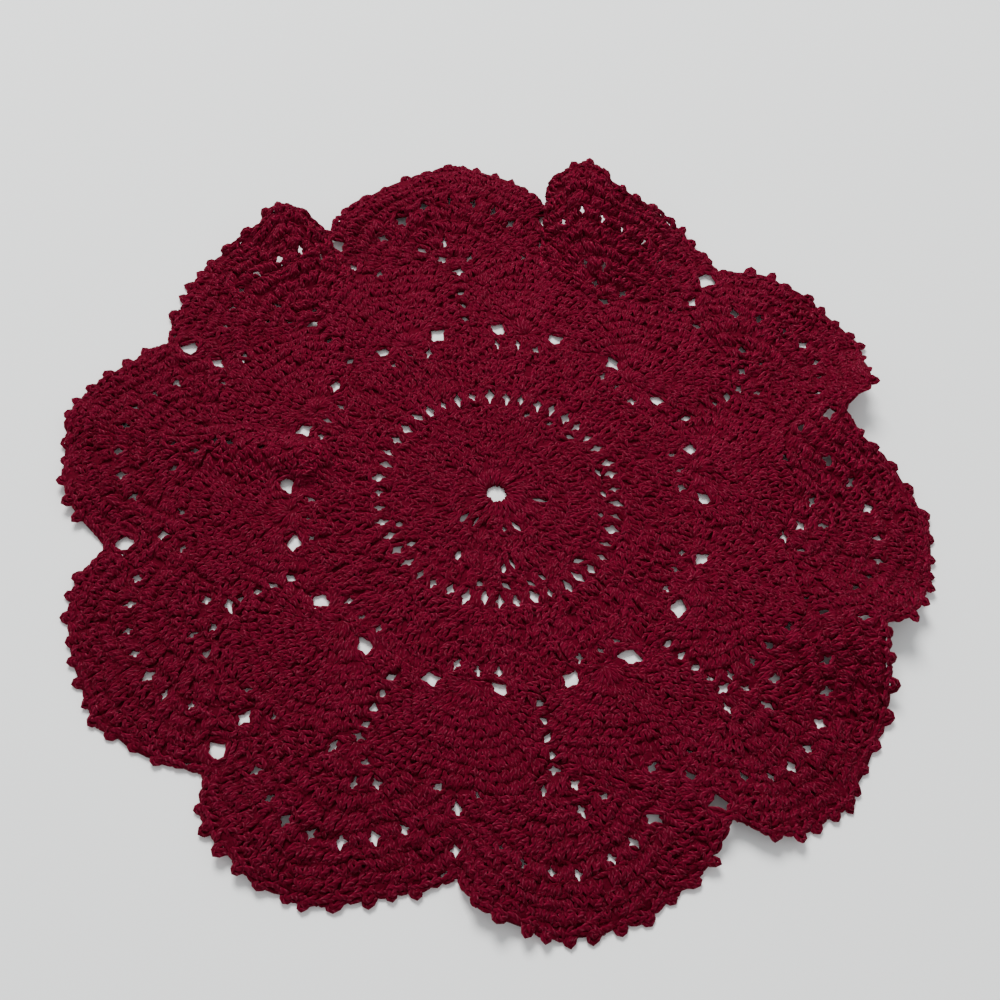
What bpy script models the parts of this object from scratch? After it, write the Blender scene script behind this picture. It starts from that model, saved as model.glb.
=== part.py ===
"""A round crocheted lace doily, worked in one piece from its middle eye outwards.

Ten repeats: a ring of small gaps, ten hubs with a fan round each, and ten petals with a picot edge
between the fans. The pattern is set out as it would lie pulled out flat, then laid on the table with
the folds of its edge. Sizes are in metres; tables give millimetres and degrees, as their columns say.
"""

import math
import random
from collections import namedtuple

import bmesh
import bpy
import numpy as np
from mathutils import Vector
from mathutils.geometry import delaunay_2d_cdt

MM = 0.001

# The whole doily. The eye lies a little off the middle of the outline, which is the origin.
REPEATS = 10
TURN = 360 / REPEATS
FIRST_HUB = 19.0
THICKNESS = 2.6 * MM
EYE_AT = (-2.2 * MM, -3.4 * MM)

# Pattern radii, pulled out flat
EYE_RADIUS = 4.6 * MM
EYE_SIDES = 14
RING_RADIUS = 51.8 * MM
RING_GAPS = 45
HUB_RADIUS = 90.0 * MM
FOCUS_RADIUS = 124.0 * MM
NOTCH_RADIUS = 166.5 * MM
PETAL_RADIUS = 62.5 * MM

# Picots: small points along a petal's edge
PICOT_PITCH = 8.3
PICOT_HEIGHT = 2.8 * MM
PICOT_BASE = 5.0 * MM
PICOT_TIP = 2.0 * MM
SMOOTH_STEP = 6.0

# Hand-made unevenness of the gaps
SEED = 7
SHIFT = 0.7 * MM
SIZE_SPREAD = 0.16
TURN_SPREAD = 12.0
CORNER_SPREAD = 0.35

# Where a pattern bearing comes to lie: each notch (N) and the crown of each petal (P), with the edge's
# reach from the eye.
Spoke = namedtuple("Spoke", "name pattern bearing reach_mm")
SPOKES = (
    Spoke("P9 crown", 1, 5.5, 193),
    Spoke("P9 slope", 9, 16.5, 184.5),
    Spoke("P9 end", 14.5, 22.5, 170),
    Spoke("N0", 19, 27, 166),
    Spoke("P0 corner", 24, 30.5, 185.5),
    Spoke("P0 crown", 33, 38.5, 200),
    Spoke("P0 slope", 40, 45, 198),
    Spoke("P0 end", 46.5, 52, 188),
    Spoke("N1", 55, 61, 175),
    Spoke("P1 start", 62, 67, 183),
    Spoke("P1 slope", 68, 72.5, 184.5),
    Spoke("P1 hollow", 76, 81, 177.5),
    Spoke("P1 peak", 81.7, 86.5, 180),
    Spoke("P1 shoulder", 86.3, 90.8, 177),
    Spoke("N2", 91, 91, 172),
    Spoke("P2 crown", 107, 105.5, 195),
    Spoke("N3", 127, 129.5, 165),
    Spoke("P3 peak", 135, 135.5, 175),
    Spoke("P3 slope", 141, 141.2, 175.5),
    Spoke("P3 crown", 148.5, 148.7, 182),
    Spoke("N4", 163, 163.5, 165),
    Spoke("P4 crown", 181, 181, 188),
    Spoke("P4 end", 193, 194.8, 179.5),
    Spoke("N5", 199, 201.5, 165),
    Spoke("P5 start", 204, 206.4, 178),
    Spoke("P5 crown", 217, 219, 187.5),
    Spoke("P5 end", 230, 232.4, 180.5),
    Spoke("N6", 235, 237.5, 168),
    Spoke("P6 start", 240, 242.4, 180.5),
    Spoke("P6 crown", 249, 251, 188),
    Spoke("N7", 271, 273.5, 162),
    Spoke("P7 start", 279, 280.5, 180.5),
    Spoke("P7 crown", 288, 289, 187),
    Spoke("P7 slope", 297, 299.3, 181),
    Spoke("N8", 307, 311, 167),
    Spoke("P8 start", 311, 314.7, 179),
    Spoke("P8 crown", 325, 327.5, 189),
    Spoke("P8 slope", 335, 340.5, 180.5),
    Spoke("P8 end", 339, 344.5, 174),
    Spoke("N9", 343, 348.5, 170),
    Spoke("P9 start", 347, 352.3, 180.5),
)
WARP_FROM = 84.0 * MM

# Folds: crests over the pattern, from an inner to an outer end, falling to nothing on either side.
Fold = namedtuple("Fold", "name at_in r_in rise_in at_out r_out rise_out cw_mm ccw_mm")
FOLDS = (
    Fold("peak of petal 1", 75, 118, 2, 81.7, 188, 29, 58, 34),
    Fold("peak of petal 3", 141, 122, 3, 135, 184, 18, 27, 45),
    Fold("tent at notch 0", 19, 110, 1, 20, 170, 11, 40, 38),
    Fold("corner of petal 0", 27, 160, 1, 24, 184, 5, 24, 22),
    Fold("tent at notch 9", 343, 108, 1, 343, 170, 13, 38, 38),
    Fold("ridge between hubs 4 and 5", 181, 84, 6, 181, 140, 2.5, 12, 15),
    Fold("roll across petal 2", 98, 168, 4, 120, 170, 4, 26, 24),
    Fold("lift at notch 8", 308, 128, 1, 309, 165, 6, 30, 26),
    Fold("lift at notch 7", 277, 140, 1, 277, 172, 4, 14, 30),
    Fold("wave in petal 0", 44, 120, 1, 46, 180, 4, 24, 30),
    Fold("wave in petal 6", 250, 130, 1, 247, 180, 3, 26, 26),
    Fold("wave in petal 4", 188, 150, 1, 192, 182, 3, 24, 20),
)

# Laps: the petal past a notch (counterclockwise) leans over the one before it.
Lap = namedtuple("Lap", "pattern lean_mm rise_mm")
LAPS = (Lap(19, 5, 4), Lap(271, 6, 4.5), Lap(343, 10, 4))
LAP_REACH = 14.0 * MM
LAP_SPAN = 11.0

# Gaps in the lace. along: outwards from the mark, across: to its left; length lies along turn.
Gap = namedtuple("Gap", "name along across length width turn")
RING_GAP = Gap("ring gap", 0, 0, 6.0, 3.8, 0)
HUB_GAPS = (
    Gap("flank left", -0.5, 13.5, 8.2, 6.2, 62),
    Gap("flank right", -0.5, -13.5, 8.2, 6.2, -62),
    Gap("foot left", -8.5, 12, 5.2, 3.0, 30),
    Gap("foot middle", -7, 3.5, 4.4, 2.6, 10),
    Gap("foot right", -8.5, -6, 4.8, 3.2, -30),
    Gap("fan edge left", 44.5, 8, 5.6, 2.4, 60),
    Gap("fan edge right", 44.5, -8, 5.6, 2.4, -60),
    Gap("notch inner", 53.5, 0, 8.2, 5.2, 0),
    Gap("notch outer", 68.8, 0, 9.0, 8.8, 0),
)
PETAL_GAPS = (
    Gap("base", 0, 0, 4.4, 6.6, 0),
    Gap("eyelet left", 7.5, 6, 5.0, 4.4, 15),
    Gap("eyelet right", 6.5, -6.5, 5.0, 3.6, -20),
    Gap("row left", 14, 14, 5.2, 4.0, 40),
    Gap("row far", 17, 5, 6.0, 2.6, 8),
)
ARC_GAPS = 7
ARC_RADIUS = 39.5 * MM
ARC_STEP = 16.0
ARC_GAP = Gap("arc gap", 0, 0, 5.6, 4.2, 0)

# Where the lace is pulled open along a fan's outer edge, on the clockwise side of these hubs
LOOSE_HUBS = (0, 9)
LOOSE_GAPS = 4
LOOSE_RADIUS = 43.5 * MM
LOOSE_STEP = 12.0
LOOSE_GAP = Gap("loose gap", 0, 0, 5.2, 3.6, 0)

# Faces
GRID = 9.5 * MM
GRID_FROM = 84.0 * MM
CLEAR = 3.4 * MM
WELD = 1e-6
SLOPE_STEP = 0.5 * MM


def direction(bearing):
    """The unit vector at a bearing in degrees."""
    return Vector((math.cos(math.radians(bearing)), math.sin(math.radians(bearing))))


def placed(mark_radius, bearing, along, across):
    """A point of the pattern, from a mark at a radius and bearing: outwards and to the left of it."""
    out = direction(bearing)
    left = direction(bearing + 90)
    return out * (mark_radius + along) + left * across


def gap_outline(mark_radius, bearing, gap, chance):
    """Four corners of one gap, counterclockwise, as uneven as handwork."""
    middle = placed(mark_radius, bearing, gap.along * MM, gap.across * MM)
    middle += Vector((chance.uniform(-SHIFT, SHIFT), chance.uniform(-SHIFT, SHIFT)))
    size = 1 + chance.uniform(-SIZE_SPREAD, SIZE_SPREAD)
    turn = bearing + gap.turn + chance.uniform(-TURN_SPREAD, TURN_SPREAD)
    far = direction(turn) * (gap.length * MM * size / 2)
    side = direction(turn + 90) * (gap.width * MM * size / 2)
    lean = chance.uniform(-CORNER_SPREAD, CORNER_SPREAD)
    return [middle + far + side * lean, middle + side, middle - far + side * lean, middle - side]


def arc_of_gaps(mark_radius, mark_bearing, radius, angles, gap, chance):
    """Gaps along an arc round a mark, at angles either side of the mark's outward direction."""
    mark = direction(mark_bearing) * mark_radius
    outlines = []
    for angle in angles:
        at = mark + direction(mark_bearing + angle) * radius
        bearing = math.degrees(math.atan2(at.y, at.x))
        turned = gap._replace(turn=mark_bearing + angle - bearing)
        outlines.append(gap_outline(at.length, bearing, turned, chance))
    return outlines


def gaps():
    """Every gap of the lace, each an outline in the flat pattern."""
    chance = random.Random(SEED)
    outlines = [[direction(360 * i / EYE_SIDES) * EYE_RADIUS for i in range(EYE_SIDES)]]
    for i in range(RING_GAPS):
        outlines.append(gap_outline(RING_RADIUS, 360 * i / RING_GAPS, RING_GAP, chance))
    arc_angles = [(i - (ARC_GAPS - 1) / 2) * ARC_STEP for i in range(ARC_GAPS)]
    loose_angles = [-LOOSE_STEP * (i + 2) for i in range(LOOSE_GAPS)]
    for k in range(REPEATS):
        hub = FIRST_HUB + k * TURN
        focus = hub + TURN / 2
        for gap in HUB_GAPS:
            outlines.append(gap_outline(HUB_RADIUS, hub, gap, chance))
        for gap in PETAL_GAPS:
            outlines.append(gap_outline(FOCUS_RADIUS, focus, gap, chance))
        outlines += arc_of_gaps(FOCUS_RADIUS, focus, ARC_RADIUS, arc_angles, ARC_GAP, chance)
        if k in LOOSE_HUBS:
            outlines += arc_of_gaps(HUB_RADIUS, hub, LOOSE_RADIUS, loose_angles, LOOSE_GAP, chance)
    return outlines


def picot_angles(half_span):
    """Middles of the picots along one petal, in degrees either side of its axis."""
    count = int((2 * half_span - 2 * SMOOTH_STEP - PICOT_PITCH) / PICOT_PITCH)
    return [(i - (count - 1) / 2) * PICOT_PITCH for i in range(count)]


def petal_edge(k):
    """One petal's edge from its clockwise notch up to, not including, the next."""
    axis = FIRST_HUB + (k + 0.5) * TURN
    focus = direction(axis) * FOCUS_RADIUS
    notch = direction(axis - TURN / 2) * NOTCH_RADIUS - focus
    half_span = axis - math.degrees(math.atan2(notch.y, notch.x))
    half_span = (half_span + 180) % 360 - 180
    base = math.degrees(PICOT_BASE / PETAL_RADIUS) / 2
    tip = math.degrees(PICOT_TIP / PETAL_RADIUS) / 2
    picots = picot_angles(half_span)
    steps = [(-half_span, notch.length)]
    steps += [(picots[0] - PICOT_PITCH, PETAL_RADIUS)]
    for angle in picots:
        steps += [(angle - base, PETAL_RADIUS), (angle - tip, PETAL_RADIUS + PICOT_HEIGHT)]
        steps += [(angle + tip, PETAL_RADIUS + PICOT_HEIGHT), (angle + base, PETAL_RADIUS)]
    steps += [(picots[-1] + PICOT_PITCH, PETAL_RADIUS)]
    return [focus + direction(axis + angle) * radius for angle, radius in steps]


def outline():
    """The doily's whole outline, counterclockwise."""
    return [point for k in range(REPEATS) for point in petal_edge(k)]


def inside(point, loop):
    """Whether a point lies within a closed outline."""
    within = False
    for a, b in zip(loop, loop[1:] + loop[:1]):
        if (a.y > point.y) != (b.y > point.y):
            if point.x < a.x + (b.x - a.x) * (point.y - a.y) / (b.y - a.y):
                within = not within
    return within


def grid_points(edge, marks):
    """Points between the gaps, where the lace bends, clear of every edge."""
    kept = []
    rows = int(2 * NOTCH_RADIUS / GRID)
    for j in range(-rows, rows + 1):
        for i in range(-rows, rows + 1):
            point = Vector(((i + 0.5 * (j % 2)) * GRID, j * GRID * math.sqrt(3) / 2))
            near = min((point - mark).length for mark in marks) if point.length > GRID_FROM else 0
            if near > CLEAR and inside(point, edge):
                kept.append(point)
    return kept


def smooth(t):
    """An S-shaped step from 0 to 1."""
    t = np.clip(t, 0, 1)
    return t * t * (3 - 2 * t)


def edge_radius(bearing):
    """The pattern's own reach at a bearing, without picots."""
    axis = FIRST_HUB + TURN / 2
    off = np.radians((bearing - axis + TURN / 2) % TURN - TURN / 2)
    return FOCUS_RADIUS * np.cos(off) + np.sqrt(PETAL_RADIUS**2 - (FOCUS_RADIUS * np.sin(off)) ** 2)


def spoke_values(bearing):
    """How far each pattern bearing is turned, in degrees, and how much its lace is stretched outwards."""
    marks = np.array([s.pattern for s in SPOKES] + [SPOKES[0].pattern + 360])
    turns = np.array([s.bearing - s.pattern for s in SPOKES])
    reach = np.array([s.reach_mm * MM for s in SPOKES])
    stretch = (reach - WARP_FROM) / (edge_radius(marks[:-1]) - WARP_FROM)
    turns = np.append(turns, turns[0])
    stretch = np.append(stretch, stretch[0])
    bearing = (bearing - marks[0]) % 360 + marks[0]
    i = np.clip(np.searchsorted(marks, bearing, side="right") - 1, 0, len(SPOKES) - 1)
    t = smooth((bearing - marks[i]) / (marks[i + 1] - marks[i]))
    return turns[i] + (turns[i + 1] - turns[i]) * t, stretch[i] + (stretch[i + 1] - stretch[i]) * t


def fold_height(x, y, fold):
    """The height that one fold gives to pattern points."""
    start = np.array(direction(fold.at_in)) * fold.r_in * MM
    run = np.array(direction(fold.at_out)) * fold.r_out * MM - start
    length = math.hypot(*run)
    run = run / length
    along = (x - start[0]) * run[0] + (y - start[1]) * run[1]
    across = (y - start[1]) * run[0] - (x - start[0]) * run[1]
    past = np.maximum(-along, 0)
    width = np.where(across > 0, fold.ccw_mm, fold.cw_mm) * MM
    off = np.clip(np.hypot(across, past) / width, 0, 1)
    rise = fold.rise_in + (fold.rise_out - fold.rise_in) * smooth(along / length)
    return rise * MM * (1 - off**2) ** 2


def lean(bearing, radius, lap):
    """How far a lap shifts pattern points clockwise, and how much it lifts them."""
    off = (bearing - lap.pattern + 180) % 360 - 180
    weight = smooth((radius - NOTCH_RADIUS) / LAP_REACH) * (1 - smooth(np.abs(off) / LAP_SPAN))
    weight = np.where(off > 0, weight, 0)
    return weight * lap.lean_mm * MM, weight * lap.rise_mm * MM


def lay(x, y):
    """Middle of the sheet on the table for points of the flat pattern: x, y and height."""
    radius = np.hypot(x, y)
    bearing = np.degrees(np.arctan2(y, x))
    turn, stretch = spoke_values(bearing)
    edge = edge_radius(bearing)
    out = smooth((radius - WARP_FROM) / (edge - WARP_FROM))
    height = np.full_like(x, THICKNESS / 2)
    for fold in FOLDS:
        height = height + fold_height(x, y, fold)
    leaning = np.zeros_like(x)
    for lap in LAPS:
        shift, rise = lean(bearing, radius, lap)
        leaning = leaning + shift
        height = height + rise
    reach = np.maximum(radius - WARP_FROM, 0)
    far = radius + reach * (stretch - 1)
    angle = np.radians(bearing + turn * out) - leaning / np.maximum(far, MM)
    return EYE_AT[0] + far * np.cos(angle), EYE_AT[1] + far * np.sin(angle), height


def lay_sides(x, y):
    """The upper and lower face of the sheet for points of the flat pattern."""
    middle = np.stack(lay(x, y), -1)
    ahead = np.stack(lay(x + SLOPE_STEP, y), -1) - np.stack(lay(x - SLOPE_STEP, y), -1)
    beside = np.stack(lay(x, y + SLOPE_STEP), -1) - np.stack(lay(x, y - SLOPE_STEP), -1)
    normal = np.cross(ahead, beside)
    normal /= np.linalg.norm(normal, axis=1)[:, None]
    return middle + normal * THICKNESS / 2, middle - normal * THICKNESS / 2


def flat_faces():
    """The pattern cut into triangles: its points, and the triangles that are lace and not gap."""
    edge = outline()
    holes = gaps()
    points = list(edge)
    loops = [list(range(len(edge)))]
    for hole in holes:
        loops.append(list(range(len(points), len(points) + len(hole))))
        points += hole
    edges = [pair for loop in loops for pair in zip(loop, loop[1:] + loop[:1])]
    points += grid_points(edge, list(points))
    verts, _, faces, _, _, _ = delaunay_2d_cdt(points, edges, [], 0, WELD)
    kept = []
    for face in faces:
        centre = sum((verts[i] for i in face), Vector((0, 0))) / len(face)
        if inside(centre, edge) and not any(inside(centre, hole) for hole in holes):
            kept.append(face)
    return verts, kept


def build_sheet(name, material):
    """The doily as one closed sheet with its gaps cut through."""
    verts, faces = flat_faces()
    x = np.array([v.x for v in verts])
    y = np.array([v.y for v in verts])
    upper, lower = lay_sides(x, y)
    mesh_tool = bmesh.new()
    top = [mesh_tool.verts.new(p) for p in upper]
    under = [mesh_tool.verts.new(p) for p in lower]
    for face in faces:
        mesh_tool.faces.new([top[i] for i in face])
        mesh_tool.faces.new([under[i] for i in reversed(face)])
    directed = {(a, b) for face in faces for a, b in zip(face, face[1:] + face[:1])}
    for a, b in sorted(directed):
        if (b, a) not in directed:
            mesh_tool.faces.new((top[b], top[a], under[a], under[b]))
    loose = [v for v in mesh_tool.verts if not v.link_faces]
    bmesh.ops.delete(mesh_tool, geom=loose, context="VERTS")
    bmesh.ops.triangulate(mesh_tool, faces=mesh_tool.faces)
    mesh = bpy.data.meshes.new(name)
    mesh_tool.to_mesh(mesh)
    mesh_tool.free()
    mesh.materials.append(material)
    sheet = bpy.data.objects.new(name, mesh)
    bpy.context.collection.objects.link(sheet)
    return sheet


def cotton(name):
    """Crimson mercerised cotton."""
    material = bpy.data.materials.new(name)
    material.use_nodes = True
    shader = material.node_tree.nodes["Principled BSDF"]
    shader.inputs["Base Color"].default_value = (0.27, 0.004, 0.028, 1)
    shader.inputs["Roughness"].default_value = 0.75
    shader.inputs["Metallic"].default_value = 0.0
    return material


def main():
    for thing in list(bpy.data.objects):
        bpy.data.objects.remove(thing, do_unlink=True)
    build_sheet("doily", cotton("crimson_cotton"))


main()
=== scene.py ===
"""The looks of a crocheted lace doily: yarn stitches on a thin ground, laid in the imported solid's folds.

The stitches are set out in the flat pattern, row by row round the eye, the hubs and the petals, and
every point then goes through the same laying-out as the solid. Sizes are in metres; tables give
millimetres and degrees, as their columns say.
"""

import math
import random
from collections import namedtuple

import bpy
import numpy as np
from mathutils import Matrix, Vector
from mathutils.geometry import delaunay_2d_cdt


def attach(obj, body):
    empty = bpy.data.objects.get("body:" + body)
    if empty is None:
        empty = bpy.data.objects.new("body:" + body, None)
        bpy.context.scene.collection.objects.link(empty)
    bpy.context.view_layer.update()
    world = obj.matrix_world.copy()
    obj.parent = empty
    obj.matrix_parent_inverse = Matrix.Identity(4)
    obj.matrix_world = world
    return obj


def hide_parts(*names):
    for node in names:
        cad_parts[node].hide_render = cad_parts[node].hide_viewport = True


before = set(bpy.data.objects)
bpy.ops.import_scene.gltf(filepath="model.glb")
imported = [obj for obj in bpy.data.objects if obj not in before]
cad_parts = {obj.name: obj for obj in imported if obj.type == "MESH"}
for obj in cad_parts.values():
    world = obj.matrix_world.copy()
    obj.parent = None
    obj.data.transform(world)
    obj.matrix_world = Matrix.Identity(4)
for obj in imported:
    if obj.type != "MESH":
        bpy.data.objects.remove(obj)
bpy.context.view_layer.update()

MM = 0.001

# --- the pattern, as the solid has it
REPEATS = 10
TURN = 360 / REPEATS
FIRST_HUB = 19.0
FIRST_PETAL = FIRST_HUB + TURN / 2
THICKNESS = 2.6 * MM
EYE_AT = (-2.2 * MM, -3.4 * MM)
EYE_RADIUS = 4.6 * MM
EYE_SIDES = 28
EYE_SHIFT = (-1.0 * MM, 0.1 * MM)
RING_RADIUS = 51.8 * MM
RING_GAPS = 45
HUB_RADIUS = 90.0 * MM
FOCUS_RADIUS = 124.0 * MM
NOTCH_RADIUS = 166.5 * MM
PETAL_RADIUS = 62.5 * MM
PICOT_PITCH = 8.3
PLAIN_EDGES = {3: -30}
SMOOTH_STEP = 6.0
SEED = 7
SHIFT = 0.7 * MM
SIZE_SPREAD = 0.16
TURN_SPREAD = 12.0
CORNER_SPREAD = 0.35
SLOPE_STEP = 0.5 * MM

Spoke = namedtuple("Spoke", "name pattern bearing reach_mm")
SPOKES = (
    Spoke("P9 crown", 1, 5.5, 193),
    Spoke("P9 slope", 9, 16.5, 184.5),
    Spoke("P9 end", 14.5, 22.5, 170),
    Spoke("N0", 19, 27, 166),
    Spoke("P0 corner", 24, 30.5, 185.5),
    Spoke("P0 crown", 33, 38.5, 200),
    Spoke("P0 slope", 40, 45, 198),
    Spoke("P0 end", 46.5, 52, 188),
    Spoke("N1", 55, 61, 175),
    Spoke("P1 start", 62, 67, 183),
    Spoke("P1 slope", 68, 72.5, 184.5),
    Spoke("P1 hollow", 76, 81, 177.5),
    Spoke("P1 peak", 81.7, 86.5, 180),
    Spoke("P1 shoulder", 86.3, 90.8, 177),
    Spoke("N2", 91, 91, 172),
    Spoke("P2 crown", 107, 105.5, 195),
    Spoke("N3", 127, 129.5, 165),
    Spoke("P3 peak", 135, 135.5, 175),
    Spoke("P3 slope", 141, 141.2, 175.5),
    Spoke("P3 crown", 148.5, 148.7, 182),
    Spoke("N4", 163, 163.5, 165),
    Spoke("P4 crown", 181, 181, 188),
    Spoke("P4 end", 193, 194.8, 179.5),
    Spoke("N5", 199, 201.5, 165),
    Spoke("P5 start", 204, 206.4, 178),
    Spoke("P5 crown", 217, 219, 187.5),
    Spoke("P5 end", 230, 232.4, 180.5),
    Spoke("N6", 235, 237.5, 168),
    Spoke("P6 start", 240, 242.4, 180.5),
    Spoke("P6 crown", 249, 251, 188),
    Spoke("N7", 271, 273.5, 162),
    Spoke("P7 start", 279, 280.5, 180.5),
    Spoke("P7 crown", 288, 289, 187),
    Spoke("P7 slope", 297, 299.3, 181),
    Spoke("N8", 307, 311, 167),
    Spoke("P8 start", 311, 314.7, 179),
    Spoke("P8 crown", 325, 327.5, 189),
    Spoke("P8 slope", 335, 340.5, 180.5),
    Spoke("P8 end", 339, 344.5, 174),
    Spoke("N9", 343, 348.5, 170),
    Spoke("P9 start", 347, 352.3, 180.5),
)
WARP_FROM = 84.0 * MM

Fold = namedtuple("Fold", "name at_in r_in rise_in at_out r_out rise_out cw_mm ccw_mm")
FOLDS = (
    Fold("peak of petal 1", 75, 118, 2, 81.7, 188, 29, 58, 34),
    Fold("peak of petal 3", 141, 122, 3, 135, 184, 18, 27, 45),
    Fold("tent at notch 0", 19, 110, 1, 20, 170, 11, 40, 38),
    Fold("corner of petal 0", 27, 160, 1, 24, 184, 5, 24, 22),
    Fold("tent at notch 9", 343, 108, 1, 343, 170, 13, 38, 38),
    Fold("ridge between hubs 4 and 5", 181, 84, 6, 181, 140, 2.5, 12, 15),
    Fold("roll across petal 2", 98, 168, 4, 120, 170, 4, 26, 24),
    Fold("lift at notch 8", 308, 128, 1, 309, 165, 6, 30, 26),
    Fold("lift at notch 7", 277, 140, 1, 277, 172, 4, 14, 30),
    Fold("wave in petal 0", 44, 120, 1, 46, 180, 4, 24, 30),
    Fold("wave in petal 6", 250, 130, 1, 247, 180, 3, 26, 26),
    Fold("wave in petal 4", 188, 150, 1, 192, 182, 3, 24, 20),
)

Lap = namedtuple("Lap", "pattern lean_mm rise_mm")
LAPS = (Lap(19, 5, 4), Lap(271, 6, 4.5), Lap(343, 10, 4))
LAP_REACH = 14.0 * MM
LAP_SPAN = 11.0

# Each gap's size is the solid's; "shown" is the share of it that the yarn round it leaves open
Gap = namedtuple("Gap", "name along across length width turn shown")
RING_GAP = Gap("ring gap", 0, 0, 6.0, 3.8, 0, 0.88)
HUB_GAPS = (
    Gap("flank left", -0.5, 13.5, 8.2, 6.2, 62, 0.96),
    Gap("flank right", -0.5, -13.5, 8.2, 6.2, -62, 0.96),
    Gap("foot left", -8.5, 12, 5.2, 3.0, 30, 0.78),
    Gap("foot middle", -7, 3.5, 4.4, 2.6, 10, 0.78),
    Gap("foot right", -8.5, -6, 4.8, 3.2, -30, 0.78),
    Gap("fan edge left", 44.5, 8, 5.6, 2.4, 60, 0.72),
    Gap("fan edge right", 44.5, -8, 5.6, 2.4, -60, 0.72),
    Gap("notch inner", 53.5, 0, 8.2, 5.2, 0, 0.70),
    Gap("notch outer", 68.8, 0, 9.0, 8.8, 0, 1.0),
)
PETAL_GAPS = (
    Gap("base", 0, 0, 4.4, 6.6, 0, 0.66),
    Gap("eyelet left", 7.5, 6, 5.0, 4.4, 15, 0.66),
    Gap("eyelet right", 6.5, -6.5, 5.0, 3.6, -20, 0.66),
    Gap("row left", 14, 14, 5.2, 4.0, 40, 0.66),
    Gap("row far", 17, 5, 6.0, 2.6, 8, 0.66),
)
ARC_GAPS = 7
ARC_RADIUS = 39.5 * MM
ARC_STEP = 16.0
ARC_GAP = Gap("arc gap", 0, 0, 5.6, 4.2, 0, 0.68)
NOTCH_OPEN = (0.5, 1.05, 1.3, 0.8, 1.0, 1.1, 1.0, 0.5, 0.7, 0.5)
ARC_OPEN = (1.0, 0.62, 0.95, 0.85, 1.0, 1.0, 1.05, 1.05, 1.0, 0.9)
ARC_SPREAD = 0.22
LOOSE_HUBS = {0: 0.0, 9: 1.0}
LOOSE_GAPS = 4
LOOSE_RADIUS = 43.5 * MM
LOOSE_STEP = 12.0
LOOSE_GAP = Gap("loose gap", 0, 0, 5.2, 3.6, 0, 0.70)

# --- yarn, ground and their sizes
STRAND_RADIUS = 0.89 * MM
STRAND_SIDES = 5
BACK_SIDES = 3
FIRST_CORNER = 0.25
PICOT_RINGS = 7
END_TAPER = 0.8
JITTER = 0.15 * MM
STRAND_SHIFT = 0.22 * MM
STITCH_JITTER = 0.2
ROW_JITTER = 0.5 * MM
THICK_SPREAD = 0.08
WORK_SEED = 23
# Where in a row's height its pitch holds, how close a cluster's feet are, and how far its middle rises
PITCH_AT = 0.6
PINCH = 0.72
CROWN = 0.65 * MM
ROW_BULGE = 0.42 * MM
ROW_VALLEY = 0.20 * MM
# How strongly the painted row shade darkens the low parts of each row and lightens the proud ones
ROW_PAINTED_SHADE = 0.65
OFF_HAND = 0.3
# The yarn's map: its unit, how far each strand starts on from the one before, and where that starts again
MAP_UNIT = 10 * MM
MAP_START = 0.37
MAP_WRAP = 7
CELL_ROOM = 0.05
CAP_SPREAD = 0.4

DRIFT_FROM_EYE = 20.0 * MM
Wave = namedtuple("Wave", "bearing length_mm shift_mm phase")
DRIFT = (
    Wave(20, 31, 0.75, 0.3),
    Wave(95, 43, 0.85, 1.9),
    Wave(160, 26, 0.55, 4.0),
    Wave(245, 57, 0.9, 2.6),
    Wave(280, 14, 0.30, 3.3),
    Wave(325, 18, 0.34, 0.8),
)
SWELL = (
    Wave(55, 19, 0.16, 0.9),
    Wave(130, 27, 0.20, 2.2),
    Wave(200, 14, 0.10, 5.1),
    Wave(20, 9.5, 0.34, 1.3),
    Wave(78, 11, 0.34, 3.9),
    Wave(143, 8.5, 0.32, 0.4),
)

GROUND_TOP = 0.48 * MM
GROUND_UNDER = -0.6 * MM
GROUND_GRID = 6.0 * MM
GROUND_CLEAR = 1.6 * MM
GROUND_BACK = 1.1 * MM
GROUND_EDGE_STEPS = 26
HOLE_GROWTH = 0.75 * MM
JOIN_WITHIN = 1e-6

# Yarn is moved out of an oval that is OPEN_SHARE of a gap and RIM_ROOM more, from as far as OPEN_REACH
# times its size. A strand that still comes within CROSSED of its size is left out
OPEN_REACH = 2.0
OPEN_SHARE = 0.82
RIM_ROOM = 0.95 * MM
CROSSED = 0.74
LEAST_DEPTH = 1e-3
RIM_BOW = 0.45
RIM_THICK = 0.9
# Along a gap's side, outwards from it in strand radii, and the height over the middle in mm
RIM_STEPS = ((-0.25, 1.7, -0.3), (0.12, 1.3, 0.25), (0.5, 0.75, 0.45), (0.88, 1.3, 0.25), (1.25, 1.7, -0.3))

# Openings of less than 4 mm between single stitches, from the eye's middle
Slit = namedtuple("Slit", "x y length width turn")
SLITS = (
    Slit(-13, -15, 4.2, 1.8, 60),
    Slit(-8, -17, 3.6, 0.8, 72),
    Slit(10, -14.5, 5.0, 1.5, -38),
    Slit(5, -17, 3.8, 0.8, -60),
    Slit(18, 1, 3.6, 0.8, 0),
    Slit(-12, -33, 3.4, 1.3, 85),
    Slit(11, -33, 3.0, 1.4, -62),
    Slit(8, -35, 2.6, 1.0, 88),
    Slit(24, -36, 2.8, 1.0, -15),
    Slit(38, -25, 3.2, 1.2, 22),
    Slit(-32, -32, 2.8, 1.3, 25),
    Slit(-39, -24, 2.8, 1.4, 70),
    Slit(-1, -44.5, 3.4, 1.3, 0),
    Slit(10, -43, 2.8, 1.0, -28),
    Slit(20, -40, 3.2, 1.0, -20),
    Slit(6, 44, 2.4, 1.6, 60),
    Slit(17, 42, 2.4, 1.4, 20),
    Slit(26, 37, 3.4, 1.3, -10),
    Slit(41, 21, 3.0, 1.3, -40),
    Slit(45, 10, 3.0, 1.2, -60),
    Slit(45, -1, 2.6, 1.2, 75),
)
SLIT_RADII = (96.5, 104.0, 111.0, 118.0)
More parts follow.
